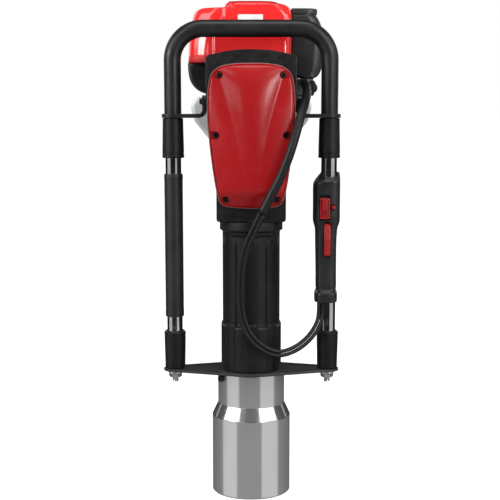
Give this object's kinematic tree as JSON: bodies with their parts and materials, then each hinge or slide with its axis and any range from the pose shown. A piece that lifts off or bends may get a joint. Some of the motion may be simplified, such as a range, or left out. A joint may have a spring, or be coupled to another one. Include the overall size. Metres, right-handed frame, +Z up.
{
  "type": "petrol post driver",
  "caption": "Hand-held petrol post driver: engine and gear case over a ribbed barrel and steel drive sleeve, in a sprung tubular handle frame.",
  "frame": {"origin": "on the plane of the drive sleeve's open rim, under the middle of the machine's bounding box without its cables; the barrel's axis is the vertical line at x = 0, y = -0.0915", "axes": "+Z up along the barrel towards the engine, +X to the machine's right as seen from the front (the throttle side), +Y to the back, where the engine and recoil starter are"},
  "size_m": [0.274, 0.3281, 0.764],
  "materials": {
    "case_black": "satin",
    "cover_red": "satin",
    "frame_black": "satin",
    "sleeve_steel": "satin",
    "rod_chrome": "polished",
    "plain_steel": "satin",
    "cast_metal": "matte",
    "grip_rubber": "matte",
    "grip_plastic": "matte",
    "control_red": "satin",
    "shroud_red": "gloss",
    "tank_white": "satin",
    "gasket_fibre": "matte"
  },
  "bodies": {
    "machine": {"gear_case": "case_black", "barrel": "case_black", "gear_cover": "cover_red", "lower_bracket": "frame_black", "upper_bracket_left": "frame_black", "upper_bracket_right": "frame_black", "sleeve_lock_screw": "frame_black", "drive_sleeve": "sleeve_steel", "cylinder_liner": "plain_steel", "crank_bearing": "plain_steel", "pinion_bearing": "plain_steel", "spark_plug": "plain_steel", "damper_spring_left": "plain_steel", "damper_spring_right": "plain_steel", "clutch_housing": "cast_metal", "crankcase": "cast_metal", "engine_cylinder": "cast_metal", "carburettor": "cast_metal", "muffler": "cast_metal", "upper_damper_left": "grip_rubber", "upper_damper_right": "grip_rubber", "lower_damper_left": "grip_rubber", "lower_damper_right": "grip_rubber", "buffer_ring": "grip_rubber", "throttle_cable": "grip_rubber", "switch_lead": "grip_rubber", "cable_conduit": "grip_rubber", "air_filter_cover": "grip_plastic", "muffler_guard": "grip_plastic", "starter_cover": "grip_plastic", "engine_shroud": "shroud_red", "fuel_tank": "tank_white", "cover_gasket": "gasket_fibre", "air_filter_element": "gasket_fibre"},
    "handle": {"top_loop": "frame_black", "side_rod_left": "rod_chrome", "side_rod_right": "rod_chrome", "left_grip": "grip_rubber", "throttle_grip": "grip_plastic", "frame_nut_left": "plain_steel", "frame_nut_right": "plain_steel"},
    "trigger": {"throttle_trigger": "control_red"},
    "lockout": {"lockout_lever": "grip_plastic"},
    "switch": {"stop_switch": "control_red"},
    "button": {"throttle_lock_button": "control_red"},
    "crank": {"crank_gear": "plain_steel"},
    "conrod": {"connecting_rod": "cast_metal"},
    "piston": {"piston": "cast_metal"},
    "ram": {"ram": "plain_steel"},
    "anvil": {"anvil": "plain_steel", "anvil_stop_ring": "plain_steel"},
    "drum": {"clutch_drum": "plain_steel"},
    "rotor": {"crankshaft": "plain_steel", "flywheel": "cast_metal", "clutch_shoes": "plain_steel"},
    "reel": {"starter_reel": "grip_plastic"},
    "starter_grip": {"starter_grip": "grip_rubber"},
    "fuel_cap": {"fuel_cap": "grip_plastic"},
    "choke": {"choke_lever": "grip_plastic"},
    "primer": {"primer_bulb": "grip_rubber"}
  },
  "joints": [
    {"name": "handle_slide", "type": "slide", "parent": "machine", "child": "handle", "axis": [0, 0, 1], "range_m": [-0.01, 0], "stiffness_N_per_m": 20000, "springref_m": 0.003, "deforming": ["damper_spring_left", "damper_spring_right"]},
    {"name": "trigger_squeeze", "type": "hinge", "parent": "handle", "child": "trigger", "pos_m": [0.116, -0.108, 0.422], "axis": [1, 0, 0], "range_deg": [0, 9], "stiffness_Nm_per_rad": 0.05, "springref_deg": -17.19},
    {"name": "lockout_press", "type": "hinge", "parent": "handle", "child": "lockout", "pos_m": [0.116, -0.0715, 0.42], "axis": [-1, 0, 0], "range_deg": [0, 7], "stiffness_Nm_per_rad": 0.05, "springref_deg": -17.19},
    {"name": "stop_switch_slide", "type": "slide", "parent": "handle", "child": "switch", "axis": [0, 0, 1], "range_m": [0, 0.004]},
    {"name": "lock_button_press", "type": "slide", "parent": "handle", "child": "button", "axis": [0, 1, 0], "range_m": [0, 0.0022], "stiffness_N_per_m": 200, "springref_m": -0.002},
    {"name": "crank_turn", "type": "hinge", "parent": "machine", "child": "crank", "pos_m": [0, -0.0715, 0.581], "axis": [0, 1, 0], "continuous": true},
    {"name": "conrod_pivot", "type": "hinge", "parent": "crank", "child": "conrod", "pos_m": [0, -0.0915, 0.593], "axis": [0, 1, 0], "continuous": true},
    {"name": "piston_slide", "type": "slide", "parent": "machine", "child": "piston", "axis": [0, 0, 1], "range_m": [-0.024, 0]},
    {"name": "ram_slide", "type": "slide", "parent": "machine", "child": "ram", "axis": [0, 0, 1], "range_m": [0, 0.036]},
    {"name": "anvil_slide", "type": "slide", "parent": "machine", "child": "anvil", "axis": [0, 0, 1], "range_m": [0, 0.02]},
    {"name": "drum_turn", "type": "hinge", "parent": "machine", "child": "drum", "pos_m": [0, -0.0415, 0.62975], "axis": [0, 1, 0], "continuous": true},
    {"name": "engine_turn", "type": "hinge", "parent": "machine", "child": "rotor", "pos_m": [0, -0.0115, 0.62975], "axis": [0, 1, 0], "continuous": true},
    {"name": "reel_turn", "type": "hinge", "parent": "machine", "child": "reel", "pos_m": [0, 0.1305, 0.62975], "axis": [0, 1, 0], "range_deg": [0, 190], "stiffness_Nm_per_rad": 0.01, "springref_deg": -57.3},
    {"name": "starter_pull", "type": "slide", "parent": "machine", "child": "starter_grip", "axis": [1, 0, 0], "range_m": [0, 0.09]},
    {"name": "fuel_cap_turn", "type": "hinge", "parent": "machine", "child": "fuel_cap", "pos_m": [0.076, 0.0655, 0.617], "axis": [0, 0, 1], "range_deg": [0, 180]},
    {"name": "choke_turn", "type": "hinge", "parent": "machine", "child": "choke", "pos_m": [0.096, -0.0159, 0.637], "axis": [0, -1, 0], "range_deg": [0, 60]},
    {"name": "primer_press", "type": "slide", "parent": "machine", "child": "primer", "axis": [-1, 0, 0], "range_m": [0, 0.003], "stiffness_N_per_m": 300, "springref_m": -0.001}
  ],
  "couplings": [
    {"joint": "conrod_pivot", "follows": "crank_turn", "ratio": -1},
    {"joint": "drum_turn", "follows": "crank_turn", "ratio": -4.9091},
    {"joint": "starter_pull", "follows": "reel_turn", "m_per_rad": 0.027}
  ]
}
